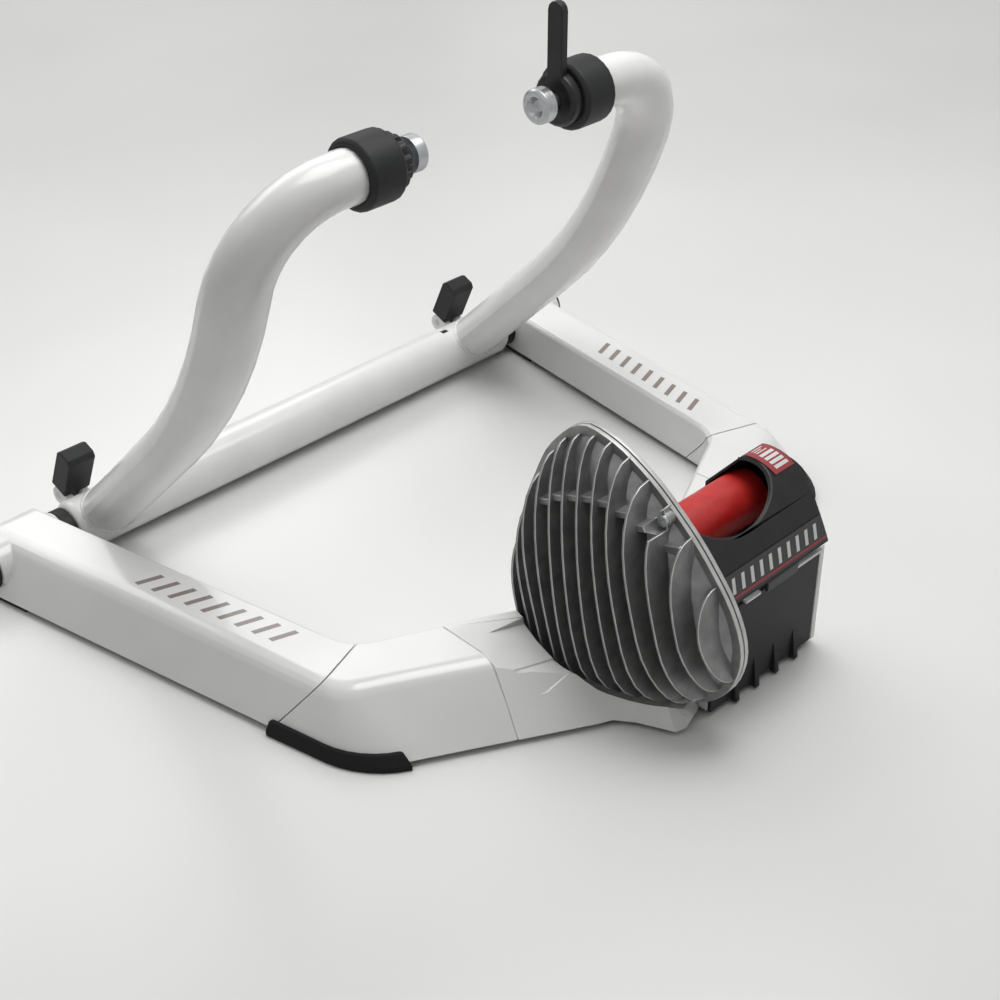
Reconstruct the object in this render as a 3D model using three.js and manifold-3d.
import * as THREE from 'three';
import { mergeVertices } from 'three/addons/utils/BufferGeometryUtils.js';
import Module from 'manifold-3d';

// A wheel-on turbo trainer: a white U-shaped base, a folding arch that holds the rear axle,
// and a fluid resistance unit with a finned dome and a red roller.
// Lengths are in millimetres. X points to the bicycle's right, Y forwards and Z up.
// Until the last line the crossbar's axis is at y = 0 and the floor at z = 0.

// Clearances
const fitGap = 0.3;
const seamGap = 0.5;
const overrun = 5;
const cutReach = 900;

// Base: white channel rail with a sloping outer face
const railHeight = 49.6;
const railBottom = 5;
const railWall = 3;
const armInnerAtPivot = 284.7;
const armTopWidth = 51.8;
const armFlare = 24;
const armFrontReach = 36;
const armEndRadius = 22;
const armSplayShare = 0.17;
const innerRearDepth = 434.5;
const rearTopWidth = 72.3;
const rearFlare = 61.6;
const innerSlopeShare = 0.46;
const topSlopeShare = 0.519;
const bottomSlopeShare = 0.55;
const innerCornerRadius = 40;
const topCornerRadius = 30;
const bottomCornerRadius = 75;
const topEdgeRadius = 12;
const innerEdgeRadius = 4;
const cradleSeamPlace = 161.5;
const cradleSeamSkewShare = -0.053;
const cradleSeamSlantShare = -0.344;
const armSeamSkewShare = -0.349;
const armSeamSlantShare = -0.893;

// Corner brackets and feet
const bracketThickness = 3;
const bracketDepth = 22;
const bracketRise = 5;
const bracketHeight = 30;
const bracketInset = 172.5;
const bracketEnd = 151;
const footProud = 5;
const footTop = 12.5;
const footTuck = 12;
const cornerFootInset = 116.5;
const cornerFootEnd = 262;
const frontFootInset = 2;
const frontFootFront = 16;
const frontFootRear = 46;
const frontPlugStart = 27;
const frontPlugTop = 17;
const frontPlugWidth = 50;

// Arm pivots
const crossbarRadius = 25;
const crossbarWall = 2.5;
const crossbarEndGap = 12.7;
const crossbarAxisHeight = 27;
const crossbarEndRadius = 8;
const crossbarEndWall = 6;
const stubRadius = 12;
const stubFlangeRadius = 21;
const stubLength = 80;
const bushFlangeRadius = 21.5;
const bushFlangeInset = 1.1;
const bushWall = 3.4;
const bushReach = 33.3;
const pivotBossRadius = 21.5;
const pivotBossReach = 67.3;
const pivotCapRadius = 19;
const pivotCapThickness = 7;
const pivotCapSpigot = 5;
const drainSlotLength = 8;
const drainSlotHeight = 3;
const drainSlotPlace = 196;

// Uprights: flat-oval tube
const uprightInset = 40;
const uprightHalfWidth = 32;
const uprightHalfDepth = 22;
const uprightWall = 2.2;
const uprightStart = 7;
const uprightFootLength = 165;
const uprightFootAngle = 45;
const uprightTopAngle = 72;
const uprightBackRadius = 430;
const uprightTopRadius = 80;
const uprightEndPlace = 120.4;

// Lock levers
const lugInset = 32;
const lugHalfWidth = 12;
const lugSlotHalfWidth = 5;
const lugEarRadius = 9;
const lockPinForward = 44;
const lockPinRadius = 3;
const lockPinHeight = 34;
const leverHalfWidth = 14;
const leverDepth = 20;
const leverLength = 46;
const leverLean = 24;
const leverCorner = 4;
const leverClear = 0.8;

// Axle heads and clamps
const headInner = 100;
const headOuter = 136;
const headRadius = 29;
const headEdge = 3;
const headBoreRadius = 14.3;
const headSocketDepth = 15.8;
const knobInner = 88.3;
const knobRadius = 23;
const knobNotches = 12;
const knobNotchRadius = 3;
const sleeveEnd = 118;
const spindleRadius = 8;
const spindleEnd = 148;
const cupFace = 66;
const cupBack = 78;
const cupRadius = 15;
const cupMouthRadius = 9;
const cupSeatRadius = 5;
const cupDepth = 6;
const cupEdge = 2;
const cupSocketDepth = 4;
const clampArmReach = 82;
const clampArmWidth = 16;
const clampArmThickness = 8;

// Resistance unit: roller line
const rollerBack = 487;
const rollerHeight = 126.6;
const rollerRadius = 22.5;
const sleeveThickness = 7;
const rollerLeft = -44;
const rollerRight = 68;
const sleeveOverhang = 7;
const rollerEdge = 2;
const shaftRadius = 6;
const shaftLeft = -74;
const shaftRight = 76.2;
const bearingRadius = 13;
const bearingWidth = 6;
const flywheelRadius = 21;
const flywheelLeft = 74.2;
const flywheelWidth = 2.4;
const impellerRadius = 40;
const impellerHubRadius = 12;
const impellerLeft = -71;
const impellerPlate = 3;
const impellerWidth = 7;
const impellerVanes = 8;
const vaneThickness = 3;

// Finned dome and its rims; the outline's points are shares of its reach forward and down
// from the roller's axis
const rimFace = -65;
const rimThickness = 4;
const rimBand = 8;
const gasketThickness = 0.6;
const gasketInset = 1.2;
const gasketWidth = 13;
const coverThickness = 4;
const rimForwardReach = 131;
const rimDownReach = 112.5;
const rimForwardShares = [
  0.472, 0.576, 0.674, 0.786, 0.871, 0.954, 1, 0.992, 0.908, 0.733, 0.473, 0.153, -0.153,
  -0.366, -0.504, -0.611, -0.702, -0.752, -0.733, -0.641, -0.496, -0.359, -0.203, -0.051, 0.192, 0.333,
];
const rimUpShares = [
  0.828, 0.774, 0.664, 0.489, 0.259, -0.018, -0.315, -0.577, -0.793, -0.928, -0.991, -1, -1,
  -0.982, -0.928, -0.829, -0.676, -0.45, -0.27, -0.045, 0.167, 0.333, 0.486, 0.618, 0.765, 0.812,
];
const domeForward = 22;
const domeUp = -30;
const innerDomeDepth = 20;
const innerDomeShare = 0.93;
const innerDomeRingShares = [[1, 0], [0.946, 0.35], [0.87, 0.6], [0.75, 0.78], [0.54, 0.93], [0.32, 1]];
const chamberDepth = 13;
const chamberShare = 0.85;
const chamberRingShares = [[1, 0], [0.95, 0.55], [0.82, 0.82], [0.55, 1]];

// Fins, from the rearmost to the front one: ends, greatest depth, and how full the curve
// towards each end is
const domeDepth = 53.3;
const bellyUp = -48;
const finTilt = 17;
const finFrontInset = 11.6;
const finFirst = -69;
const finThickness = 2.2;
const finTopShares = [
  -0.116, 0.222, 0.444, 0.608, 0.756, 0.853, 0.891, 0.891, 0.85, 0.745, 0.587, 0.373, 0.124,
];
const finBottomShares = [
  -0.818, -0.916, -1.004, -1.062, -1.058, -1.04, -1.022, -0.978, -0.951, -0.924, -0.871, -0.8, -0.729,
];
const finDepthShares = [
  0.555, 0.685, 0.784, 0.876, 0.923, 0.947, 1, 0.989, 0.964, 0.902, 0.846, 0.749, 0.659,
];
const crownFullShares = [2, 3, 3.5, 3.5, 2.45, 1.8, 1.43, 1.45, 1.45, 2.05, 3, 3, 2.5];
const keelFullShares = [1.6, 1.5, 1.9, 1.6, 2.45, 3.3, 3.3, 4, 5, 6, 6, 6, 5];

// Gussets between the fins from the second one on: their tops and how far they stand out
const gussetTopShares = [0.203, 0.365, 0.461, 0.526, 0.545, 0.537, 0.521, 0.477];
const gussetDepthShares = [0.26, 0.43, 0.49, 0.51, 0.52, 0.52, 0.52, 0.52];
const gussetHeight = 20;

// Rim screws, each in the middle of a gap between fins
const screwGapShares = { upper: 2, rear: 2.5, lower: 8.5 };
const upperScrewInset = 5.5;
const lowerScrewInset = 9;
const screwBossRadius = 5.5;
const screwBossLength = 7;
const screwAccessRadius = 8;
const screwRadius = 3;
const screwHeadRadius = 4.8;
const screwHeadHeight = 3;
const bearingBossRadius = 17;
const bearingBossEnd = -46.5;
const bearingSeat = -54;

// Unit bracket
const cheekLeft = 69.2;
const cheekThickness = 4.5;
const cheekRadius = 18;
const webLeft = -55;
const webThickness = 5;
const webRear = 522;
const webFront = 454;
const webClear = 0.4;
const boltRadius = 4;
const boltHeadRadius = 7;
const boltHeadHeight = 4;
const boltLength = 14;
const boltPlace = 38;

// Roller hood
const hoodLeft = -52;
const hoodRight = 80;
const hoodWall = 3;
const hoodRadius = 43.2;
const hoodBack = 499;
const hoodEndAngle = 135;
const hoodHandle = 20;
const hoodRearBack = 560;
const hoodRearHeight = 107;
const hoodFrontBottom = 96;
const hoodFrontLeft = 50;
const hoodStartAngle = 76;
const hoodFacetSlopeShare = 1.14;
const scoopCentreX = -3.2;
const scoopRise = 83.1;
const scoopHalfWidth = 72;
const scoopHalfHeight = 64.4;
const tongueLeft = 0;
const tongueRight = 40;
const tongueBottom = 97;
const badgeThickness = 0.7;
const badgeGap = 0.3;
const badgeInset = 5;
const topBadgeLeft = 53;
const topBadgeStart = 79;
const topBadgeSweep = 42;
const rearBadgeStartShare = 0.67;
const rearBadgeEndShare = 0.97;

// Rear cradle; the bowl's stations hold inner, upper outer and lower outer points as shares
const towerLeft = -54;
const towerRight = 85;
const towerFront = 440;
const towerRear = 554;
const shelfHeight = 77;
const shelfThickness = 4;
const towerWallTop = 98;
const beamFront = 380;
const beamHeight = 38;
const bowlWidth = 123.8;
const bowlBack = 552;
const bowlShares = [
  [[0.86, 0.7], [0.86, 0.84], [0.92, 0.9145]],
  [[0.76, 0.72], [0.78, 0.88], [0.836, 0.942]],
  [[0.68, 0.74], [0.72, 0.92], [0.776, 0.974]],
  [[0.6, 0.76], [0.69, 0.945], [0.738, 0.995]],
  [[0.5, 0.78], [0.6, 0.945], [0.655, 1]],
  [[0.42, 0.8], [0.44, 0.93], [0.45, 0.985]],
];
const notchFront = 397;
const notchSkewShare = -0.15;
const notchFallShare = 0.18;
const notchStep = 444;
const notchStepHeight = 37.7;
const notchDip = 460;
const notchDipHeight = 25;
const notchRear = 476;
const notchOuter = 142;
const notchInner = 70;
const dipOuter = 146;
const dipInner = 122;
const notchReach = 60;
const domeRoom = 3;
const underRimRoom = 2;
const slotGap = 1.2;
const panelRecess = 3.8;
const panelRight = 79;
const panelThickness = 3;
const panelBottom = 5;
const panelTop = 95;
const panelRibs = 5;
const ribPitch = 26;
const ribFirst = 54;
const ribWidth = 5;
const ribHeight = 36;
const ribDepth = 5;
const ribDrop = 3;
const tabHeight = 3.5;
const tabDepth = 8;
const tabPlaces = [[-22, -3], [43, 79]];

// Sizes that follow from others
const topRearDepth = innerRearDepth + rearTopWidth;
const cornerFootFront = innerRearDepth - cornerFootInset;
const bracketFront = innerRearDepth - bracketInset;
const bottomRearDepth = topRearDepth + rearFlare;
const finLast = rimForwardReach - finFrontInset;
const finPitch = (finLast - finFirst) / (finDepthShares.length - 1);
const crossbarHalf = armInnerAtPivot - crossbarEndGap;
const bushFlangeEnd = armInnerAtPivot - bushFlangeInset;
const bushEnd = armInnerAtPivot + bushReach;
const pivotBossEnd = armInnerAtPivot + pivotBossReach;
const uprightPlace = crossbarHalf - uprightInset;
const lugPlace = crossbarHalf - lugInset;

// Counts and colours
const roundSegments = 24;
const smallSegments = 14;
const cornerSteps = 6;
const edgeSteps = 4;
const tubeSides = 16;
const bendSteps = 6;
const elbowSteps = 8;
const outlineSamples = 72;
const finSamples = 16;
const gloss = { roughness: 0.2, metalness: 0 };
const materials = {
  white: { color: 0xe9eaec, ...gloss },
  black: { color: 0x17181a, roughness: 0.5, metalness: 0 },
  rubber: { color: 0x101011, roughness: 0.8, metalness: 0 },
  castDark: { color: 0x55585b, roughness: 0.45, metalness: 0.8 },
  castLight: { color: 0xb9bcbf, roughness: 0.4, metalness: 0.8 },
  steel: { color: 0xa9adb2, roughness: 0.3, metalness: 1 },
  red: { color: 0xa5201e, roughness: 0.45, metalness: 0 },
  badge: { color: 0x9c1c2c, roughness: 0.35, metalness: 0 },
};

const wasm = await Module();
wasm.setup();
const trainer = new THREE.Group();

// Solids: joining, cutting and placing

function solidOf(geometry) {
  const bare = new THREE.BufferGeometry();
  bare.setAttribute('position', geometry.getAttribute('position').clone());
  bare.setIndex(geometry.index);
  const merged = mergeVertices(bare);
  const vertProperties = new Float32Array(merged.getAttribute('position').array);
  const triVerts = new Uint32Array(merged.index.array);
  return new wasm.Manifold(new wasm.Mesh({ numProp: 3, vertProperties, triVerts }));
}

function geometryOf(solid) {
  const mesh = solid.getMesh();
  const geometry = new THREE.BufferGeometry();
  geometry.setAttribute('position', new THREE.BufferAttribute(mesh.vertProperties, 3));
  geometry.setIndex(new THREE.BufferAttribute(mesh.triVerts, 1));
  return geometry;
}

function addPart(name, shape, look) {
  const geometry = shape.isBufferGeometry ? shape : geometryOf(shape);
  geometry.computeVertexNormals();
  const mesh = new THREE.Mesh(geometry, new THREE.MeshStandardMaterial(materials[look]));
  mesh.name = name;
  trainer.add(mesh);
}

function mirrored(geometry) {
  const copy = geometry.clone();
  copy.scale(-1, 1, 1);
  const order = copy.index.array;
  for (let k = 0; k < order.length; k += 3) {
    [order[k], order[k + 1]] = [order[k + 1], order[k]];
  }
  return copy;
}

function addPair(name, shape, look) {
  const geometry = shape.isBufferGeometry ? mergeVertices(shape) : geometryOf(shape);
  addPart(`right_${name}`, geometry, look);
  addPart(`left_${name}`, mirrored(geometry), look);
}

function flatCap(ring) {
  const normal = new THREE.Vector3();
  ring.forEach((point, k) => {
    normal.add(new THREE.Vector3().crossVectors(point, ring[(k + 1) % ring.length]));
  });
  const turn = new THREE.Quaternion().setFromUnitVectors(normal.normalize(), new THREE.Vector3(0, 0, 1));
  const flat = ring.map((point) => {
    const turned = point.clone().applyQuaternion(turn);
    return new THREE.Vector2(turned.x, turned.y);
  });
  return THREE.ShapeUtils.triangulateShape(flat, []).map(([a, b, c]) => {
    const ab = flat[b].clone().sub(flat[a]);
    const ac = flat[c].clone().sub(flat[a]);
    return ab.cross(ac) > 0 ? [a, b, c] : [a, c, b];
  });
}

// A closed solid through rings of equally many points
function loft(rings) {
  const count = rings[0].length;
  const positions = rings.flat().flatMap((point) => [point.x, point.y, point.z]);
  const faces = [];
  for (let r = 0; r + 1 < rings.length; r += 1) {
    for (let k = 0; k < count; k += 1) {
      const a = r * count + k;
      const b = r * count + ((k + 1) % count);
      faces.push([a, b, b + count], [a, b + count, a + count]);
    }
  }
  const last = (rings.length - 1) * count;
  flatCap(rings[0]).forEach(([a, b, c]) => faces.push([a, c, b]));
  flatCap(rings[rings.length - 1]).forEach(([a, b, c]) => faces.push([a + last, b + last, c + last]));
  const geometry = new THREE.BufferGeometry();
  geometry.setAttribute('position', new THREE.Float32BufferAttribute(positions, 3));
  geometry.setIndex(faces.flat());
  return facingOut(geometry);
}

function facingOut(geometry) {
  const places = geometry.getAttribute('position');
  const order = geometry.index.array;
  const corner = (k) => new THREE.Vector3().fromBufferAttribute(places, order[k]);
  let volume = 0;
  for (let k = 0; k < order.length; k += 3) {
    volume += corner(k).dot(corner(k + 1).cross(corner(k + 2)));
  }
  if (volume < 0) {
    for (let k = 0; k < order.length; k += 3) {
      [order[k], order[k + 1]] = [order[k + 1], order[k]];
    }
  }
  return geometry;
}

// A flat outline carried along one axis from one place to another
function prism(outline, axis, from, to) {
  const place = {
    x: (point, along) => new THREE.Vector3(along, point[0], point[1]),
    y: (point, along) => new THREE.Vector3(point[0], along, point[1]),
    z: (point, along) => new THREE.Vector3(point[0], point[1], along),
  }[axis];
  return loft([from, to].map((along) => outline.map((point) => place(point, along))));
}

function block(x0, x1, y0, y1, z0, z1) {
  const box = new THREE.BoxGeometry(x1 - x0, y1 - y0, z1 - z0);
  return box.translate((x0 + x1) / 2, (y0 + y1) / 2, (z0 + z1) / 2);
}

// A turned piece about an axis along X; each profile point is [radius, place along X]
function turned(profile, y, z, segments = roundSegments) {
  const points = profile.map(([radius, along]) => new THREE.Vector2(radius, along));
  const lathe = new THREE.LatheGeometry(points, segments);
  lathe.rotateZ(-Math.PI / 2);
  lathe.translate(0, y, z);
  const bare = new THREE.BufferGeometry();
  bare.setAttribute('position', lathe.getAttribute('position').clone());
  bare.setIndex(lathe.index);
  const merged = mergeVertices(bare);
  const order = [];
  for (let k = 0; k < merged.index.count; k += 3) {
    const [a, b, c] = [0, 1, 2].map((step) => merged.index.array[k + step]);
    if (a !== b && b !== c && a !== c) order.push(a, b, c);
  }
  merged.setIndex(order);
  return facingOut(merged);
}

function rod(radius, from, to, y, z, segments = roundSegments) {
  return turned([[0, from], [radius, from], [radius, to], [0, to]], y, z, segments);
}

function halfSpace(point, normal) {
  const box = new THREE.BoxGeometry(cutReach, cutReach, cutReach);
  box.translate(0, 0, cutReach / 2);
  box.applyQuaternion(new THREE.Quaternion().setFromUnitVectors(new THREE.Vector3(0, 0, 1), normal));
  return solidOf(box.translate(point.x, point.y, point.z));
}

function arcPoints(centre, radius, fromDegrees, toDegrees, steps) {
  return Array.from({ length: steps + 1 }, (_, k) => {
    const angle = THREE.MathUtils.degToRad(fromDegrees + ((toDegrees - fromDegrees) * k) / steps);
    return [centre[0] + radius * Math.cos(angle), centre[1] + radius * Math.sin(angle)];
  });
}

// Rail: the plan of its inner edge, top outer edge and bottom outer edge, on the right side

function planCurve(placeAtPivot, slope, rearDepth, radius) {
  const onArm = (y) => new THREE.Vector2(placeAtPivot + armSplayShare * y, y);
  const onDiagonal = (x) => new THREE.Vector2(x, slope * x - rearDepth);
  const meeting = onArm((slope * placeAtPivot - rearDepth) / (1 - slope * armSplayShare));
  const towardsArm = new THREE.Vector2(armSplayShare, 1).normalize();
  const towardsCentre = new THREE.Vector2(-1, -slope).normalize();
  const half = Math.acos(towardsArm.dot(towardsCentre)) / 2;
  const middle = towardsArm.clone().add(towardsCentre).normalize();
  const centre = meeting.clone().addScaledVector(middle, radius / Math.sin(half));
  const start = meeting.clone().addScaledVector(towardsArm, radius / Math.tan(half)).sub(centre);
  const sweep = -(Math.PI - 2 * half);
  const corner = Array.from({ length: cornerSteps + 1 }, (_, k) => {
    return start.clone().rotateAround(new THREE.Vector2(), (sweep * k) / cornerSteps).add(centre);
  });
  return { onArm, onDiagonal, corner };
}

const armTopOuter = armInnerAtPivot + armTopWidth;
const armBottomOuter = armTopOuter + armFlare;
const innerCurve = planCurve(armInnerAtPivot, innerSlopeShare, innerRearDepth, innerCornerRadius);
const topCurve = planCurve(armTopOuter, topSlopeShare, topRearDepth, topCornerRadius);
const bottomCurve = planCurve(armBottomOuter, bottomSlopeShare, bottomRearDepth, bottomCornerRadius);

function armStation(y) {
  return [innerCurve, topCurve, bottomCurve].map((curve) => curve.onArm(y));
}

function cornerStation(k) {
  return [innerCurve, topCurve, bottomCurve].map((curve) => curve.corner[k]);
}

function diagonalStation(x) {
  return [innerCurve, topCurve, bottomCurve].map((curve) => curve.onDiagonal(x));
}

const cornerStations = Array.from({ length: cornerSteps + 1 }, (_, k) => cornerStation(k));

// The rail's cross-section at a station; skin 0 is its outside and railWall its hollow
function railRing([inner, top, bottom], skin) {
  const across = top.clone().sub(inner).normalize();
  const down = bottom.clone().sub(top).normalize();
  const height = railHeight - skin;
  const foot = skin > 0 ? railBottom - overrun : railBottom;
  const innerAt = inner.clone().addScaledVector(across, skin);
  const topAt = top.clone().addScaledVector(across, -skin);
  const bottomAt = bottom.clone().addScaledVector(down, -skin);
  const innerEdge = innerEdgeRadius - skin / 2;
  const outerEdge = topEdgeRadius - skin;
  const at = (plan, z) => new THREE.Vector3(plan.x, plan.y, z);
  const shoulder = at(topAt, height);
  const slope = at(bottomAt, foot).sub(shoulder).normalize();
  const flatEnd = at(topAt.clone().addScaledVector(across, -outerEdge), height);
  const slopeStart = shoulder.clone().addScaledVector(slope, outerEdge);
  const rounding = new THREE.QuadraticBezierCurve3(flatEnd, shoulder, slopeStart).getPoints(edgeSteps);
  return [
    at(innerAt, foot),
    at(innerAt, height - innerEdge),
    at(innerAt.clone().addScaledVector(across, innerEdge), height),
    ...rounding,
    at(bottomAt, foot),
  ];
}

function railSolid(stations, skin) {
  return solidOf(loft(stations.map((station) => railRing(station, skin))));
}

const sideStations = [armStation(armFrontReach), ...cornerStations, diagonalStation(towerRight)];

function armEndPrism(inset) {
  const front = armFrontReach - inset;
  const radius = armEndRadius - inset;
  const top = railHeight;
  const round = arcPoints([front - radius, top - radius], radius, 0, 90, edgeSteps);
  const outline = [[front, 0 - overrun], ...round, [-cutReach, top], [-cutReach, 0 - overrun]];
  return solidOf(prism(outline, 'x', 0, cutReach));
}

// The arm and the corner shell meet on a plane that leans forwards towards the floor
const armSeam = {
  point: new THREE.Vector3(topCurve.corner[0].x, topCurve.corner[0].y, railHeight),
  normal: new THREE.Vector3(armSeamSkewShare, -1, armSeamSlantShare).normalize(),
};

// The corner shell and the cradle meet on a plane that leans outwards towards the floor
const cradleSeam = {
  point: new THREE.Vector3(cradleSeamPlace, innerCurve.onDiagonal(cradleSeamPlace).y, railHeight),
  normal: new THREE.Vector3(-1, cradleSeamSkewShare, cradleSeamSlantShare).normalize(),
};

function beyondSeam(seam, shift) {
  return halfSpace(seam.point.clone().addScaledVector(seam.normal, shift), seam.normal);
}

function makeRails() {
  const outside = railSolid(sideStations, 0).intersect(armEndPrism(0));
  const hollow = railSolid(sideStations, railWall).intersect(armEndPrism(railWall));
  const shell = outside.subtract(hollow);
  const boss = rod(pivotBossRadius, bushFlangeEnd + fitGap, pivotBossEnd, 0, crossbarAxisHeight);
  const bore = rod(stubRadius + bushWall + fitGap * 2, 0, cutReach, 0, crossbarAxisHeight);
  const spotFace = rod(bushFlangeRadius + fitGap, 0, bushFlangeEnd + fitGap, 0, crossbarAxisHeight);
  const capSeat = rod(pivotCapRadius + fitGap, pivotBossEnd, cutReach, 0, crossbarAxisHeight);
  const arm = shell.subtract(beyondSeam(armSeam, -seamGap / 2)).add(solidOf(boss));
  const corner = shell.intersect(beyondSeam(armSeam, seamGap / 2));
  addPair('arm', arm.subtract(solidOf(bore)).subtract(solidOf(spotFace)).subtract(solidOf(capSeat)), 'white');
  addPair('corner_shell', corner.subtract(beyondSeam(cradleSeam, -seamGap / 2)), 'white');
}

function makeCornerBrackets() {
  const low = railBottom + bracketRise;
  const high = low + bracketHeight;
  const near = railWall + fitGap;
  const web = near + bracketThickness;
  const far = near + bracketDepth;
  const section = [
    [near, low], [far, low], [far, low + bracketThickness], [web, low + bracketThickness],
    [web, high - bracketThickness], [far, high - bracketThickness], [far, high], [near, high],
  ];
  const stations = [armStation(-bracketFront), ...cornerStations, diagonalStation(bracketEnd)];
  const rings = stations.map(([inner, top]) => {
    const across = top.clone().sub(inner).normalize();
    return section.map(([offset, z]) => {
      const place = inner.clone().addScaledVector(across, offset);
      return new THREE.Vector3(place.x, place.y, z);
    });
  });
  addPair('corner_bracket', loft(rings), 'steel');
}

// Feet

function cornerFootRing([, top, bottom]) {
  const out = bottom.clone().sub(top);
  const lean = out.length() / (railHeight - railBottom);
  out.normalize();
  const ledge = railBottom - fitGap;
  const lip = -(footTop - railBottom) * lean;
  const section = [
    [-footTuck, 0], [footProud, 0], [footProud, ledge],
    [lip + footProud, footTop], [lip + fitGap * 2, footTop], [fitGap * 2, ledge], [-footTuck, ledge],
  ];
  return section.map(([offset, z]) => {
    const place = bottom.clone().addScaledVector(out, offset);
    return new THREE.Vector3(place.x, place.y, z);
  });
}

function makeFeet() {
  const stations = [armStation(-cornerFootFront), ...cornerStations, diagonalStation(cornerFootEnd)];
  addPair('corner_foot', loft(stations.map(cornerFootRing)), 'rubber');
  const sole = [armStation(frontFootFront), armStation(-frontFootRear)].map(([inner, , bottom]) => {
    const near = inner.x + frontFootInset;
    const far = bottom.x - frontFootInset;
    const ledge = railBottom - fitGap;
    return [[near, 0], [far, 0], [far, ledge], [near, ledge]]
      .map(([x, z]) => new THREE.Vector3(x, inner.y, z));
  });
  const plug = [-frontPlugStart, -frontFootRear].map((y) => {
    const near = innerCurve.onArm(y).x + railWall + fitGap;
    const far = near + frontPlugWidth;
    const base = railBottom - fitGap - fitGap;
    return [[near, base], [far, base], [far, frontPlugTop], [near, frontPlugTop]]
      .map(([x, z]) => new THREE.Vector3(x, y, z));
  });
  addPair('front_foot', solidOf(loft(sole)).add(solidOf(loft(plug))), 'rubber');
}

// Pivots and crossbar

function makePivots() {
  const y = 0;
  const z = crossbarAxisHeight;
  const bushInner = stubRadius + fitGap;
  const bushOuter = stubRadius + bushWall;
  const flangeStart = crossbarHalf + fitGap;
  addPair('pivot_bush', turned([
    [bushInner, flangeStart], [bushFlangeRadius, flangeStart], [bushFlangeRadius, bushFlangeEnd],
    [bushOuter, bushFlangeEnd], [bushOuter, bushEnd], [bushInner, bushEnd], [bushInner, flangeStart],
  ], y, z), 'black');
  const flangeEnd = crossbarHalf - crossbarEndWall - fitGap;
  const flangeBack = flangeEnd - crossbarEndWall;
  addPair('pivot_stub', turned([
    [0, flangeBack], [stubFlangeRadius, flangeBack], [stubFlangeRadius, flangeEnd],
    [stubRadius, flangeEnd], [stubRadius, flangeEnd + stubLength], [0, flangeEnd + stubLength],
  ], y, z), 'steel');
  const capStart = pivotBossEnd + fitGap;
  const capEnd = capStart + pivotCapThickness;
  const capRound = pivotCapThickness / 2;
  addPair('pivot_cap', turned([
    [0, capStart - pivotCapSpigot], [bushOuter, capStart - pivotCapSpigot], [bushOuter, capStart],
    [pivotCapRadius, capStart], [pivotCapRadius, capEnd - capRound],
    [pivotCapRadius - capRound, capEnd], [0, capEnd],
  ], y, z), 'black');
}

function crossbarProfile() {
  const round = arcPoints(
    [crossbarRadius - crossbarEndRadius, crossbarHalf - crossbarEndRadius],
    crossbarEndRadius, 90, 0, edgeSteps,
  );
  const bore = crossbarRadius - crossbarWall;
  const inside = crossbarHalf - crossbarEndWall;
  const hole = stubRadius + fitGap;
  const half = [[bore, inside], [hole, inside], [hole, crossbarHalf], ...round];
  const otherHalf = half.map(([radius, along]) => [radius, -along]).reverse();
  return [...half, ...otherHalf, half[0]];
}

function makeCrossbar() {
  const tube = solidOf(turned(crossbarProfile(), 0, crossbarAxisHeight));
  const slotTop = crossbarAxisHeight + crossbarRadius;
  const slots = [1, -1].map((side) => block(
    side * drainSlotPlace - drainSlotLength / 2, side * drainSlotPlace + drainSlotLength / 2,
    -drainSlotHeight, drainSlotHeight, slotTop - crossbarWall * 3, slotTop + overrun,
  ));
  addPart('crossbar', geometryOf(tube.subtract(solidOf(slots[0])).subtract(solidOf(slots[1]))), 'white');
}

// Uprights: straight foot, long arc in the fore-and-aft plane, then an arc inwards

function uprightStations() {
  const stations = [];
  const widthAxis = new THREE.Vector3(1, 0, 0);
  const start = new THREE.Vector3(uprightPlace, 0, crossbarAxisHeight);
  const headingAt = (degrees) => {
    const angle = THREE.MathUtils.degToRad(degrees);
    return new THREE.Vector3(0, -Math.cos(angle), Math.sin(angle));
  };
  const depthAxisFor = (heading) => new THREE.Vector3().crossVectors(heading, widthAxis);
  const foot = headingAt(uprightFootAngle);
  [uprightStart, uprightFootLength].forEach((along) => {
    stations.push({ at: start.clone().addScaledVector(foot, along), wide: widthAxis, deep: depthAxisFor(foot) });
  });
  const bendStart = stations[1].at;
  for (let k = 1; k <= bendSteps; k += 1) {
    const degrees = uprightFootAngle + ((uprightTopAngle - uprightFootAngle) * k) / bendSteps;
    const turnedBy = [uprightFootAngle, degrees].map((value) => THREE.MathUtils.degToRad(value));
    const at = bendStart.clone();
    at.y -= uprightBackRadius * (Math.sin(turnedBy[1]) - Math.sin(turnedBy[0]));
    at.z += uprightBackRadius * (Math.cos(turnedBy[0]) - Math.cos(turnedBy[1]));
    stations.push({ at, wide: widthAxis, deep: depthAxisFor(headingAt(degrees)) });
  }
  const climb = headingAt(uprightTopAngle);
  const inwards = new THREE.Vector3(-1, 0, 0);
  const elbow = stations[stations.length - 1].at;
  for (let k = 1; k <= elbowSteps; k += 1) {
    const angle = (Math.PI / 2) * (k / elbowSteps);
    const at = elbow.clone();
    at.addScaledVector(climb, uprightTopRadius * Math.sin(angle));
    at.addScaledVector(inwards, uprightTopRadius * (1 - Math.cos(angle)));
    const wide = widthAxis.clone().multiplyScalar(Math.cos(angle)).addScaledVector(climb, Math.sin(angle));
    stations.push({ at, wide, deep: depthAxisFor(climb), taper: k / elbowSteps });
  }
  const end = stations[stations.length - 1];
  stations.push({ ...end, at: end.at.clone().setX(uprightEndPlace) });
  return stations;
}

const uprightRoute = uprightStations();
const axle = uprightRoute[uprightRoute.length - 1].at;

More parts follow.
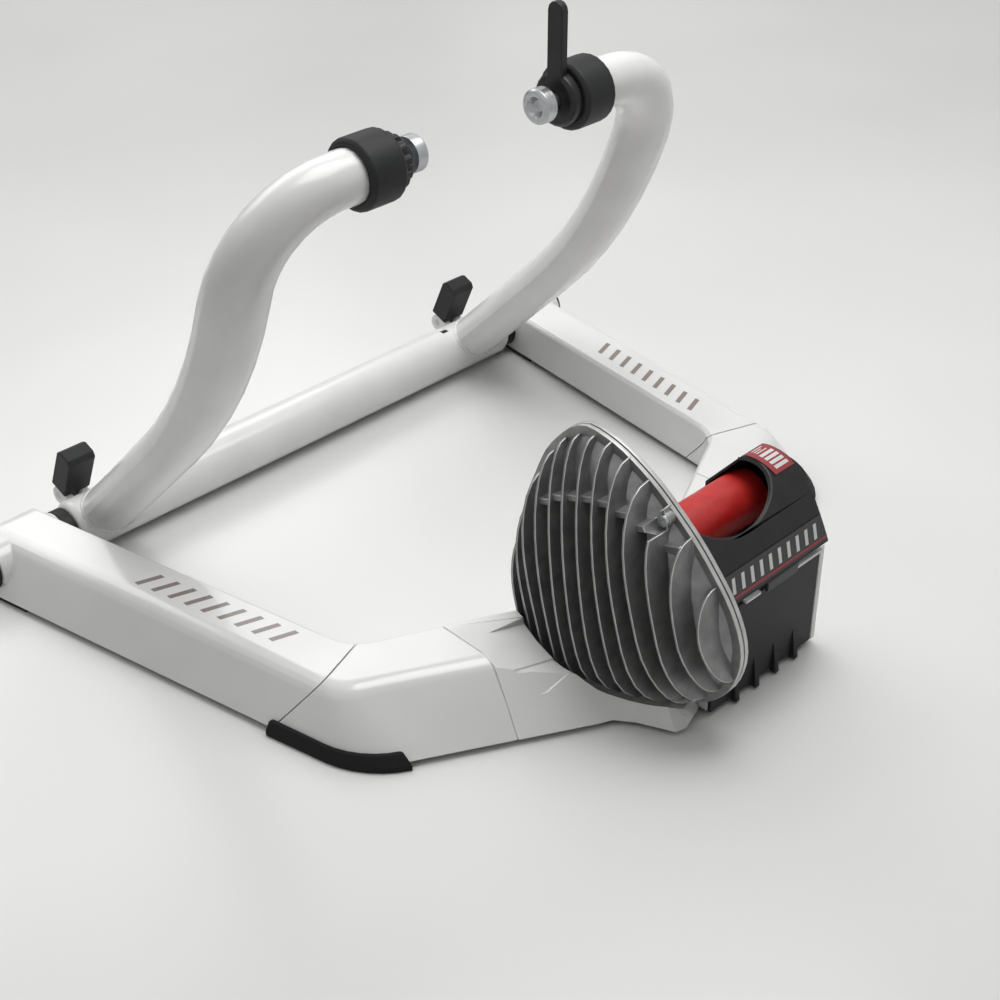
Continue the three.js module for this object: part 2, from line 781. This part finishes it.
function uprightTube(skin) {
  return solidOf(loft(uprightRoute.map(({ at, wide, deep, taper = 0 }) => {
    const halfWidth = THREE.MathUtils.lerp(uprightHalfWidth, uprightHalfDepth, taper) - skin;
    const halfDepth = uprightHalfDepth - skin;
    return Array.from({ length: tubeSides }, (_, k) => {
      const angle = (2 * Math.PI * k) / tubeSides;
      return at.clone()
        .addScaledVector(wide, halfWidth * Math.cos(angle))
        .addScaledVector(deep, halfDepth * Math.sin(angle));
    });
  })));
}

function makeUprights() {
  const bar = rod(crossbarRadius + fitGap, 0, cutReach, 0, crossbarAxisHeight, roundSegments * 2);
  const tube = uprightTube(0).subtract(uprightTube(uprightWall)).subtract(solidOf(bar));
  addPair('upright', tube, 'white');
}

// Lock levers in front of the crossbar

function makeLockLevers() {
  const pin = [lockPinForward, lockPinHeight];
  const x0 = lugPlace - lugHalfWidth;
  const x1 = lugPlace + lugHalfWidth;
  const ear = arcPoints(pin, lugEarRadius, 140, -90, cornerSteps);
  const lugOutline = [[0, pin[1] - lugEarRadius], [0, crossbarAxisHeight], ...ear];
  const bar = rod(crossbarRadius + fitGap, 0, cutReach, 0, crossbarAxisHeight);
  const slot = block(
    lugPlace - lugSlotHalfWidth, lugPlace + lugSlotHalfWidth,
    crossbarRadius + fitGap * 4, cutReach, 0, cutReach,
  );
  const pinHole = rod(lockPinRadius + fitGap, 0, cutReach, ...pin, smallSegments);
  const lug = solidOf(prism(lugOutline, 'x', x0, x1)).subtract(solidOf(bar));
  addPair('lock_lug', lug.subtract(solidOf(slot)).subtract(solidOf(pinHole)), 'white');
  addPair('lock_pin', rod(lockPinRadius, x0 + fitGap, x1 - fitGap, ...pin, smallSegments), 'steel');

  const angle = THREE.MathUtils.degToRad(leverLean);
  const rise = [-Math.sin(angle), Math.cos(angle)];
  const ahead = [Math.cos(angle), Math.sin(angle)];
  const at = (forward, up) => [
    pin[0] + ahead[0] * forward + rise[0] * up, pin[1] + ahead[1] * forward + rise[1] * up,
  ];
  const low = lugEarRadius + leverClear;
  const top = low + leverLength;
  const half = leverDepth / 2;
  const handle = [
    at(half, low), at(half, top - leverCorner), at(half - leverCorner, top),
    at(leverCorner - half, top), at(-half, top - leverCorner), at(-half, low),
  ];
  const tongueHalf = lugEarRadius - leverClear;
  const tongueFoot = arcPoints([0, 0], tongueHalf, 0, -180, cornerSteps).map(([a, b]) => at(a, b));
  const tongue = [at(tongueHalf, low + fitGap), ...tongueFoot, at(-tongueHalf, low + fitGap)];
  const tongueWidth = lugSlotHalfWidth - fitGap;
  const grip = prism(handle, 'x', lugPlace - leverHalfWidth, lugPlace + leverHalfWidth);
  const blade = prism(tongue, 'x', lugPlace - tongueWidth, lugPlace + tongueWidth);
  addPair('lock_lever', solidOf(grip).add(solidOf(blade)).subtract(solidOf(pinHole)), 'black');
}

// Axle heads, cups and their adjusters

function makeAxleEnds() {
  const { y, z } = axle;
  const socket = uprightHalfDepth + fitGap;
  const socketStart = headOuter - headSocketDepth;
  addPair('axle_head', turned([
    [headBoreRadius, headInner], [headRadius - headEdge, headInner], [headRadius, headInner + headEdge],
    [headRadius, headOuter - headEdge], [headRadius - headEdge, headOuter], [socket, headOuter],
    [socket, socketStart], [headBoreRadius, socketStart], [headBoreRadius, headInner],
  ], y, z), 'black');
  const cup = turned([
    [0, cupFace + cupDepth], [cupSeatRadius, cupFace + cupDepth], [cupMouthRadius, cupFace],
    [cupRadius - cupEdge, cupFace], [cupRadius, cupFace + cupEdge], [cupRadius, cupBack],
    [spindleRadius + fitGap, cupBack], [spindleRadius + fitGap, cupBack - cupSocketDepth],
    [0, cupBack - cupSocketDepth],
  ], y, z);
  addPair('axle_cup', cup, 'steel');
  const spindle = rod(spindleRadius, cupBack - cupSocketDepth + fitGap, spindleEnd, y, z, smallSegments);
  addPart('left_spindle', mirrored(spindle), 'steel');
  addPart('right_plunger', spindle, 'steel');

  const sleeve = headBoreRadius - fitGap;
  const ringEnd = headInner - fitGap;
  const hole = spindleRadius + fitGap;
  const ring = solidOf(turned([
    [hole, knobInner], [knobRadius - headEdge, knobInner], [knobRadius, knobInner + headEdge],
    [knobRadius, ringEnd], [sleeve, ringEnd], [sleeve, sleeveEnd], [hole, sleeveEnd], [hole, knobInner],
  ], y, z));
  const notches = Array.from({ length: knobNotches }, (_, k) => {
    const angle = (2 * Math.PI * k) / knobNotches;
    const place = [y + knobRadius * Math.cos(angle), z + knobRadius * Math.sin(angle)];
    return solidOf(rod(knobNotchRadius, 0, cutReach, ...place, knobNotches));
  });
  const knob = notches.reduce((solid, notch) => solid.subtract(notch), ring);
  addPart('left_adjuster_knob', mirrored(geometryOf(knob)), 'black');

  const armHalf = clampArmWidth / 2;
  const tip = z + clampArmReach;
  const armOutline = [
    [y - armHalf, z + headBoreRadius], [y + armHalf, z + headBoreRadius],
    [y + armHalf, tip - armHalf], ...arcPoints([y, tip - armHalf], armHalf, 0, 180, cornerSteps).slice(1),
  ];
  const armEnd = knobInner + clampArmThickness;
  addPart('right_clamp_lever', ring.add(solidOf(prism(armOutline, 'x', knobInner, armEnd))), 'black');
}

// Finned dome: a smooth closed outline, an envelope over it, and fins in leaning planes

const rollerAxis = [-rollerBack, rollerHeight];
const rimKnots = rimForwardShares.map((share, k) => new THREE.Vector3(
  rollerAxis[0] + rimForwardReach * share, rollerAxis[1] + rimDownReach * rimUpShares[k], 0,
));
const rimOutline = new THREE.CatmullRomCurve3(rimKnots, true, 'centripetal')
  .getSpacedPoints(outlineSamples).slice(0, outlineSamples).map((point) => [point.x, point.y]);
const domeCentre = [rollerAxis[0] + domeForward, rollerAxis[1] + domeUp];

function offsetOutline(distance) {
  return rimOutline.map(([y, z]) => {
    const reach = Math.hypot(y - domeCentre[0], z - domeCentre[1]);
    const grown = (reach + distance) / reach;
    return [domeCentre[0] + (y - domeCentre[0]) * grown, domeCentre[1] + (z - domeCentre[1]) * grown];
  });
}

// The fins lean back: a place across them and up along them, as [y, z] and the other way round
const lean = THREE.MathUtils.degToRad(finTilt);

function leaning(across, up) {
  return [
    rollerAxis[0] + across * Math.cos(lean) + up * Math.sin(lean),
    rollerAxis[1] - across * Math.sin(lean) + up * Math.cos(lean),
  ];
}

function upright([y, z]) {
  const [back, rise] = [y - rollerAxis[0], z - rollerAxis[1]];
  return [back * Math.cos(lean) - rise * Math.sin(lean), back * Math.sin(lean) + rise * Math.cos(lean)];
}

// A solid through the outline's own shape, smaller and further out from ring to ring
function domeBody(share, depth, back, ringShares) {
  const ringAt = (scale, x) => rimOutline.map(([y, z]) => new THREE.Vector3(
    x, domeCentre[0] + (y - domeCentre[0]) * scale, domeCentre[1] + (z - domeCentre[1]) * scale,
  ));
  const rings = ringShares.map(([scale, deep]) => ringAt(scale * share, rimFace - depth * deep));
  return solidOf(loft([ringAt(share, back), ...rings]));
}

// How far fin k stands out at a height, between its two ends
function finDepth(k, up, low, high) {
  const crown = Math.min(1, Math.max(0, up - bellyUp) / (high - bellyUp));
  const keel = Math.min(1, Math.max(0, bellyUp - up) / (bellyUp - low));
  const greatest = domeDepth * finDepthShares[k];
  return greatest * Math.sqrt(1 - crown ** crownFullShares[k]) * Math.sqrt(1 - keel ** keelFullShares[k]);
}

// Fin k's outline in a leaning plane, grown by some room and closed at the root
function finRing(k, across, room, root) {
  const low = rimDownReach * finBottomShares[k] - room;
  const high = rimDownReach * finTopShares[k] + room;
  const edge = Array.from({ length: finSamples + 1 }, (_, step) => {
    const up = (low + high) / 2 - ((high - low) / 2) * Math.cos((Math.PI * step) / finSamples);
    return { up, x: rimFace - room - finDepth(k, up, low, high) };
  });
  return [{ up: low, x: root }, ...edge, { up: high, x: root }].map(({ up, x }) => {
    const [y, z] = leaning(across, up);
    return new THREE.Vector3(x, y, z);
  });
}

const finPlaces = finDepthShares.map((_, k) => finFirst + finPitch * k);

function finSolid(across, k) {
  const root = rimFace + rimThickness / 2;
  const half = finThickness / 2;
  return solidOf(loft([across - half, across + half].map((place) => finRing(k, place, 0, root))));
}

// A wedge that joins two fins, with its flat side up
function gussetSolid(topShare, k) {
  const top = rimDownReach * topShare;
  const root = rimFace + rimThickness / 2;
  const tip = rimFace - domeDepth * gussetDepthShares[k];
  const outline = [[root, top], [tip, top], [tip, top - gussetHeight / 4], [root, top - gussetHeight]];
  return solidOf(loft([finPlaces[k + 1], finPlaces[k + 2]].map((across) => outline.map(([x, up]) => {
    const [y, z] = leaning(across, up);
    return new THREE.Vector3(x, y, z);
  }))));
}

// Rim screws sit in the gaps between fins, at the rim's upper or lower side
function rimScrew(gap, inset, pick) {
  const across = finFirst + finPitch * gap;
  const field = offsetOutline(-inset).map(upright);
  const ends = [];
  field.forEach(([a0, up0], k) => {
    const [a1, up1] = field[(k + 1) % field.length];
    if ((a0 - across) * (a1 - across) < 0) {
      ends.push(THREE.MathUtils.mapLinear(across, a0, a1, up0, up1));
    }
  });
  return leaning(across, pick(...ends));
}

const screwPlaces = {
  upper: rimScrew(screwGapShares.upper, upperScrewInset, Math.max),
  rear: rimScrew(screwGapShares.rear, lowerScrewInset, Math.min),
  lower: rimScrew(screwGapShares.lower, lowerScrewInset, Math.min),
};

function makeHeatSink() {
  const rimBack = rimFace + rimThickness;
  const rim = solidOf(prism(rimOutline, 'x', rimFace, rimBack));
  let solid = rim.add(domeBody(innerDomeShare, innerDomeDepth, rimBack, innerDomeRingShares));
  finPlaces.forEach((across, k) => {
    solid = solid.add(finSolid(across, k));
  });
  gussetTopShares.forEach((share, k) => {
    solid = solid.add(gussetSolid(share, k));
  });
  solid = solid.subtract(domeBody(chamberShare, chamberDepth, rimBack + overrun, chamberRingShares));
  Object.values(screwPlaces).forEach(([y, z]) => {
    const bossFace = rimFace - screwBossLength;
    const boss = rod(screwBossRadius, bossFace, rimBack, y, z, smallSegments);
    const hole = rod(screwRadius + fitGap, rimFace - cutReach, rimBack + overrun, y, z, smallSegments);
    const access = rod(screwAccessRadius, rimFace - cutReach, bossFace, y, z, smallSegments);
    solid = solid.add(solidOf(boss)).subtract(solidOf(access)).subtract(solidOf(hole));
  });
  addPart('heat_sink', solid, 'castDark');
}

function makeRims() {
  const gasketLeft = rimFace + rimThickness + fitGap;
  const gasketRight = gasketLeft + gasketThickness;
  const ring = solidOf(prism(offsetOutline(-gasketInset), 'x', gasketLeft, gasketRight));
  const opening = solidOf(prism(offsetOutline(-gasketInset - gasketWidth * 2), 'x', -cutReach, cutReach));
  const holes = Object.values(screwPlaces).map(([y, z]) => {
    return solidOf(rod(screwRadius + fitGap, -cutReach, cutReach, y, z, smallSegments));
  });
  const drilled = (solid) => holes.reduce((left, hole) => left.subtract(hole), solid);
  addPart('flange_gasket', drilled(ring.subtract(opening)), 'rubber');
  const coverLeft = gasketRight + fitGap;
  const coverRight = coverLeft + coverThickness;
  const plate = solidOf(prism(rimOutline, 'x', coverLeft, coverRight));
  const boss = solidOf(rod(bearingBossRadius, coverLeft, bearingBossEnd, ...rollerAxis));
  const seat = solidOf(rod(bearingRadius + fitGap, bearingSeat - fitGap, 0, ...rollerAxis));
  const shaftHole = solidOf(rod(shaftRadius + fitGap, -cutReach, 0, ...rollerAxis, smallSegments));
  addPart('back_cover', drilled(plate.add(boss).subtract(seat).subtract(shaftHole)), 'castLight');
  Object.entries(screwPlaces).forEach(([name, [y, z]]) => {
    const headLeft = rimFace - screwBossLength - fitGap;
    addPart(`${name}_flange_screw`, turned([
      [0, headLeft - screwHeadHeight], [screwHeadRadius, headLeft - screwHeadHeight],
      [screwHeadRadius, headLeft], [screwRadius, headLeft], [screwRadius, coverRight], [0, coverRight],
    ], y, z, smallSegments), 'steel');
  });
}

// Roller line

function makeRollerLine() {
  const gap = shaftRadius + fitGap;
  addPart('roller_shaft', rod(shaftRadius, shaftLeft, shaftRight, ...rollerAxis, smallSegments), 'steel');
  const bearing = (left) => turned([
    [gap, left], [bearingRadius, left], [bearingRadius, left + bearingWidth],
    [gap, left + bearingWidth], [gap, left],
  ], ...rollerAxis, smallSegments);
  addPart('left_bearing', bearing(bearingSeat), 'steel');
  addPart('right_bearing', bearing(cheekLeft + cheekThickness - bearingWidth), 'steel');
  const coreRadius = rollerRadius - sleeveThickness;
  const coreRight = rollerRight - sleeveOverhang;
  addPart('roller_core', turned([
    [gap, rollerLeft], [coreRadius, rollerLeft], [coreRadius, coreRight], [gap, coreRight],
    [gap, rollerLeft],
  ], ...rollerAxis), 'castLight');
  const bore = coreRadius + fitGap;
  addPart('roller_sleeve', turned([
    [bore, rollerLeft], [rollerRadius - rollerEdge, rollerLeft], [rollerRadius, rollerLeft + rollerEdge],
    [rollerRadius, rollerRight - rollerEdge], [rollerRadius - rollerEdge, rollerRight],
    [bore, rollerRight], [bore, rollerLeft],
  ], ...rollerAxis, roundSegments + edgeSteps), 'red');
  const wheelRight = flywheelLeft + flywheelWidth;
  addPart('flywheel', turned([
    [gap, flywheelLeft], [flywheelRadius, flywheelLeft], [flywheelRadius, wheelRight], [gap, wheelRight],
    [gap, flywheelLeft],
  ], ...rollerAxis), 'steel');
  const hubRight = impellerLeft + impellerWidth;
  let impeller = solidOf(turned([
    [gap, impellerLeft], [impellerRadius, impellerLeft], [impellerRadius, impellerLeft + impellerPlate],
    [impellerHubRadius, impellerLeft + impellerPlate], [impellerHubRadius, hubRight], [gap, hubRight],
    [gap, impellerLeft],
  ], ...rollerAxis));
  for (let k = 0; k < impellerVanes; k += 1) {
    const vane = block(
      impellerLeft + impellerPlate / 2, hubRight, impellerHubRadius - overrun / 2, impellerRadius - overrun / 2,
      -vaneThickness / 2, vaneThickness / 2,
    );
    vane.rotateX((2 * Math.PI * k) / impellerVanes);
    vane.translate(0, ...rollerAxis);
    impeller = impeller.add(solidOf(vane));
  }
  addPart('impeller', impeller, 'black');
}

function makeUnitBracket() {
  const webBottom = shelfHeight + webClear;
  const cheekRight = cheekLeft + cheekThickness;
  const crown = arcPoints(rollerAxis, cheekRadius, 0, 180, cornerSteps * 2);
  const cheekOutline = [[-webFront, webBottom], ...crown, [-webRear, webBottom]];
  const cheek = solidOf(prism(cheekOutline, 'x', cheekLeft, cheekRight));
  const web = solidOf(block(webLeft, cheekRight, -webRear, -webFront, webBottom, webBottom + webThickness));
  const seat = solidOf(rod(bearingRadius + fitGap, cheekLeft - overrun, cheekRight + overrun, ...rollerAxis));
  const boltBack = -(webRear + webFront) / 2;
  const bolts = { left: -boltPlace, right: boltPlace };
  let bracket = cheek.add(web).subtract(seat);
  Object.entries(bolts).forEach(([side, x]) => {
    const hole = new THREE.CylinderGeometry(boltRadius + fitGap, boltRadius + fitGap, overrun * 4, smallSegments);
    hole.rotateX(Math.PI / 2).translate(x, boltBack, webBottom);
    bracket = bracket.subtract(solidOf(hole));
    const seatHeight = webBottom + webThickness + fitGap;
    const hex = new THREE.CylinderGeometry(boltHeadRadius, boltHeadRadius, boltHeadHeight, cornerSteps);
    hex.rotateX(Math.PI / 2).translate(x, boltBack, seatHeight + boltHeadHeight / 2);
    const shank = new THREE.CylinderGeometry(boltRadius, boltRadius, boltLength, smallSegments);
    shank.rotateX(Math.PI / 2).translate(x, boltBack, seatHeight + fitGap - boltLength / 2);
    addPart(`${side}_bracket_bolt`, solidOf(hex).add(solidOf(shank)), 'steel');
  });
  addPart('unit_bracket', bracket, 'black');
}

// Roller hood

const hoodCentre = [-hoodBack, rollerHeight];

// The hood's back, from the end of its arc down to its rear edge
function hoodRear(inset) {
  const angle = THREE.MathUtils.degToRad(hoodEndAngle);
  const radial = new THREE.Vector2(Math.cos(angle), Math.sin(angle));
  const start = new THREE.Vector2(...hoodCentre).addScaledVector(radial, hoodRadius - inset);
  const handle = start.clone().add(new THREE.Vector2(-radial.y, radial.x).multiplyScalar(hoodHandle));
  return new THREE.QuadraticBezierCurve(start, handle, new THREE.Vector2(-hoodRearBack + inset, hoodRearHeight));
}

function hoodOutline(inset) {
  const radius = hoodRadius - inset;
  const below = inset > 0 ? overrun : 0;
  const bevel = inset > 0 ? 0 : hoodWall;
  const back = hoodRear(inset).getPoints(cornerSteps).map(({ x, y }) => [x, y]);
  const rear = back[back.length - 1];
  const front = hoodCentre[0] + radius;
  const arc = arcPoints(hoodCentre, radius, hoodStartAngle, hoodEndAngle, cornerSteps * 2);
  const facetFoot = arc[0][1] - (front - arc[0][0]) * hoodFacetSlopeShare;
  return [
    [front, hoodFrontBottom - below], [front, facetFoot], ...arc, ...back.slice(1),
    [rear[0] + bevel, rear[1] - hoodWall - below],
  ];
}

// An oval cut from front to rear, wide enough for the tyre above the roller
function hoodScoop() {
  const oval = new THREE.CylinderGeometry(1, 1, cutReach, roundSegments * 2);
  oval.scale(scoopHalfWidth, 1, scoopHalfHeight);
  return oval.translate(scoopCentreX, rollerAxis[0], rollerAxis[1] + scoopRise);
}

function makeHood() {
  const outside = solidOf(prism(hoodOutline(0), 'x', hoodLeft, hoodRight));
  const inside = solidOf(prism(hoodOutline(hoodWall), 'x', hoodLeft - overrun, hoodRight - hoodWall));
  const frontCut = solidOf(block(
    hoodLeft - overrun, hoodFrontLeft, -rollerBack, cutReach, -cutReach, cutReach,
  ));
  const tongue = block(
    tongueLeft, tongueRight, -hoodRearBack, -hoodRearBack + hoodWall, tongueBottom, hoodRearHeight,
  );
  const hood = outside.subtract(inside).subtract(solidOf(hoodScoop())).subtract(frontCut).add(solidOf(tongue));
  addPart('roller_hood', hood, 'black');

  const inner = hoodRadius + badgeGap;
  const outer = inner + badgeThickness;
  const badgeEnd = topBadgeStart + topBadgeSweep;
  const curved = [
    ...arcPoints(hoodCentre, inner, topBadgeStart, badgeEnd, cornerSteps),
    ...arcPoints(hoodCentre, outer, badgeEnd, topBadgeStart, cornerSteps),
  ];
  addPart('top_badge', prism(curved, 'x', topBadgeLeft, hoodRight - badgeInset / 2), 'badge');
  const back = hoodRear(0);
  const row = (proud) => Array.from({ length: edgeSteps + 1 }, (_, k) => {
    const share = THREE.MathUtils.lerp(rearBadgeStartShare, rearBadgeEndShare, k / edgeSteps);
    const [point, way] = [back.getPoint(share), back.getTangent(share)];
    return [point.x + way.y * proud, point.y - way.x * proud];
  });
  const strip = [...row(badgeGap), ...row(badgeGap + badgeThickness).reverse()];
  addPart('rear_badge', prism(strip, 'x', hoodLeft + badgeInset, hoodRight - badgeInset / 2), 'black');
}

// Rear cradle

// The rail goes on into the cradle on both sides; on the left it sinks into a bowl under the
// dome, so its stations bend round to the tower's corner
function bowlStations() {
  const knots = bowlShares.map((shares) => shares.map(([across, back]) => new THREE.Vector2(
    bowlWidth * across, -bowlBack * back,
  )));
  return [diagonalStation(cradleSeamPlace + overrun * 6), diagonalStation(bowlWidth), ...knots];
}

// The space that the fins and the rims take up in the bowl, with room round them
function domeClearance(extra) {
  const room = domeRoom + extra;
  const root = rimFace + rimThickness;
  const half = finThickness / 2 + room;
  const last = finPlaces.length - 1;
  const rings = [
    finRing(0, finPlaces[0] - half, room, root),
    ...finPlaces.map((across, k) => finRing(k, across, room, root)),
    finRing(last, finPlaces[last] + half, room, root),
  ];
  const slotEnd = towerLeft - slotGap + extra;
  const slot = prism(offsetOutline(underRimRoom + extra), 'x', rimFace - room - rimBand, slotEnd);
  return solidOf(loft(rings)).add(solidOf(slot));
}

// A notch in the bowl's edge beside the dome's front: a slope down to a step, then a dip
function bowlNotch(extra) {
  const ring = (outline, x) => outline.map(([y, z]) => new THREE.Vector3(
    x, y + notchSkewShare * (x + notchOuter), z - notchFallShare * (x + notchOuter),
  ));
  const slope = [
    [extra - notchFront, cutReach], [extra - notchFront, railHeight - extra],
    [-notchStep, notchStepHeight - extra], [-notchStep, cutReach],
  ];
  const dip = (lowest) => [
    [overrun - notchStep, cutReach], [overrun - notchStep, notchStepHeight - extra],
    [-notchStep, notchStepHeight - extra], [-notchDip, lowest - extra],
    [-notchRear - extra, notchStepHeight - extra], [-notchRear - extra, cutReach],
  ];
  const outer = -notchOuter - notchReach;
  const slopes = loft([ring(slope, outer), ring(slope, -notchInner)]);
  const dips = loft([
    ring(dip(notchDipHeight), outer), ring(dip(notchDipHeight), -dipOuter),
    ring(dip(notchStepHeight - fitGap), extra - dipInner),
    ring(dip(notchStepHeight - fitGap), -notchInner),
  ]);
  return solidOf(slopes).add(solidOf(dips));
}

function makeCradle() {
  const bowl = bowlStations();
  const sides = [diagonalStation(cradleSeamPlace + overrun * 6), diagonalStation(towerRight - railWall * 2)];
  const sidesHollow = [sides[0], diagonalStation(towerRight + railWall * 2)];
  const bowlOutside = solidOf(mirrored(loft(bowl.map((station) => railRing(station, 0)))));
  const bowlInside = solidOf(mirrored(loft(bowl.slice(0, -1).map((station) => railRing(station, railWall)))));
  const tower = solidOf(block(towerLeft, towerRight, -towerRear, -towerFront, railBottom, shelfHeight));
  const towerInside = solidOf(block(
    towerLeft + railWall, towerRight - railWall, -towerRear + panelRecess + railWall,
    -towerFront - railWall, railBottom - overrun, shelfHeight - shelfThickness,
  ));
  const rearWall = solidOf(block(
    towerLeft, towerRight, -towerRear, -towerRear + panelRecess + railWall, railBottom, towerWallTop,
  ));
  const rightWall = solidOf(block(
    towerRight - railWall, towerRight, -towerRear, -towerFront, railBottom, towerWallTop,
  ));
  const panelPocket = solidOf(block(
    towerLeft - overrun, panelRight + fitGap, -towerRear - overrun, -towerRear + panelRecess,
    railBottom - overrun, towerWallTop + overrun,
  ));
  const beam = (skin) => solidOf(block(
    -bowlWidth + skin, towerRight - skin, -towerFront - overrun + skin * 3, -beamFront - skin,
    skin > 0 ? railBottom - overrun : railBottom, beamHeight - skin,
  ));
  const carved = (solid, extra) => solid.subtract(domeClearance(extra)).subtract(bowlNotch(extra));
  const outside = carved(bowlOutside.add(beam(0)), 0)
    .add(railSolid(sides, 0)).add(tower).add(rearWall).add(rightWall);
  const inside = carved(bowlInside.add(beam(railWall)), railWall)
    .add(railSolid(sidesHollow, railWall)).add(towerInside);
  const leftSeam = beyondSeam(cradleSeam, seamGap / 2).mirror([1, 0, 0]);
  let cradle = outside.subtract(inside).subtract(panelPocket).subtract(domeClearance(0))
    .intersect(beyondSeam(cradleSeam, seamGap / 2)).intersect(leftSeam);
  tabPlaces.forEach(([x0, x1]) => {
    const tab = block(
      x0, x1, -towerRear - overrun / 2, -towerRear + tabDepth, panelTop + fitGap, panelTop + tabHeight,
    );
    cradle = cradle.add(solidOf(tab));
  });
  Object.values({ left: -boltPlace, right: boltPlace }).forEach((x) => {
    const hole = new THREE.CylinderGeometry(boltRadius + fitGap, boltRadius + fitGap, overrun * 6, smallSegments);
    hole.rotateX(Math.PI / 2).translate(x, -(webRear + webFront) / 2, shelfHeight);
    cradle = cradle.subtract(solidOf(hole));
  });
  addPart('rear_cradle', cradle, 'white');

  const panelRearFace = -towerRear + panelRecess - fitGap - panelThickness;
  let panel = solidOf(block(
    towerLeft + fitGap, panelRight, panelRearFace, panelRearFace + panelThickness, panelBottom, panelTop,
  ));
  for (let k = 0; k < panelRibs; k += 1) {
    const x = ribFirst - ribPitch * k;
    const outline = [
      [panelRearFace + panelThickness / 2, panelBottom - ribDrop], [panelRearFace - ribDepth, panelBottom - ribDrop],
      [panelRearFace + panelThickness / 2, panelBottom + ribHeight],
    ];
    if (x - ribWidth > towerLeft) {
      panel = panel.add(solidOf(prism(outline, 'x', x - ribWidth / 2, x + ribWidth / 2)));
    }
  }
  addPart('rear_panel', panel, 'black');
}

makeRails();
makeCornerBrackets();
makeFeet();
makePivots();
makeCrossbar();
makeUprights();
makeLockLevers();
makeAxleEnds();
makeHeatSink();
makeRims();
makeRollerLine();
makeUnitBracket();
makeHood();
makeCradle();

// The origin is the middle of the whole footprint, on the floor
const span = new THREE.Box3().setFromObject(trainer);
trainer.position.y = -(span.min.y + span.max.y) / 2;
trainer.position.x = -(span.min.x + span.max.x) / 2;

export default trainer;
